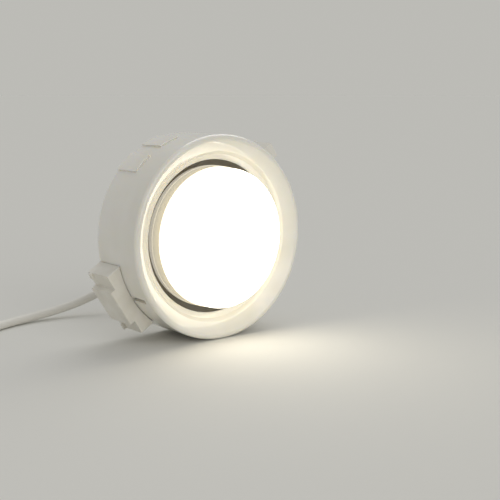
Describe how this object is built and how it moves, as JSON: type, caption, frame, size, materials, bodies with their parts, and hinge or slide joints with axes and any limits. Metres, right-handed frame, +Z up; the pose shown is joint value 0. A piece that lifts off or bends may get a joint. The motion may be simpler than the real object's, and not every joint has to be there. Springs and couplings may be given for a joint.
{
  "type": "disc lamp in a recessed holder",
  "caption": "Flat round opal disc lamp twisted into a white recessed holder ring with a short drum, sliding side clips, vented rear cover and a short lead with a terminal block.",
  "frame": {"origin": "on the floor under the middle of the drum, as it stands on its round side", "axes": "+Z up, +Y along the lamp axis to the back, so the light shines towards -Y"},
  "size_m": [0.1989, 0.1042, 0.106],
  "materials": {
    "housing_plastic": "satin moulded white",
    "cover_plastic": "fine moulded texture",
    "clip_plastic": "satin moulded white",
    "holder_plastic": "matt",
    "lamp_plastic": "satin",
    "opal_diffuser": "opal, lit",
    "pin_brass": "nickel plated",
    "contact_brass": "bright",
    "screw_steel": "zinc plated",
    "boot_plastic": "soft matt",
    "cord_sheath": "satin",
    "wire_brown": "satin",
    "wire_blue": "satin",
    "block_plastic": "milky"
  },
  "bodies": {
    "fitting": {"housing": "housing_plastic", "rear_cover": "cover_plastic", "cover_screws": "screw_steel", "holder_base": "holder_plastic", "holder_screws": "screw_steel", "contact_upper": "contact_brass", "contact_lower": "contact_brass", "wire_upper": "wire_brown", "wire_lower": "wire_blue", "cord_boot": "boot_plastic", "cord": "cord_sheath", "core_tail_a": "wire_brown", "core_tail_b": "wire_blue", "terminal_block": "block_plastic", "terminal_insert_a": "contact_brass", "terminal_insert_b": "contact_brass", "terminal_screws": "screw_steel"},
    "clip_left": {"clip_left": "clip_plastic"},
    "clip_right": {"clip_right": "clip_plastic"},
    "lamp": {"lamp_body": "lamp_plastic", "lamp_diffuser": "opal_diffuser", "lamp_pin_upper": "pin_brass", "lamp_pin_lower": "pin_brass"}
  },
  "joints": [
    {"name": "clip_left_slide", "type": "slide", "parent": "fitting", "child": "clip_left", "axis": [0, -1, 0], "range_m": [0, 0.011]},
    {"name": "clip_right_slide", "type": "slide", "parent": "fitting", "child": "clip_right", "axis": [0, -1, 0], "range_m": [-0.0084, 0.0026]},
    {"name": "lamp_twist", "type": "hinge", "parent": "fitting", "child": "lamp", "pos_m": [0, 0, 0.053], "axis": [0, -1, 0], "range_deg": [0, 15]}
  ]
}
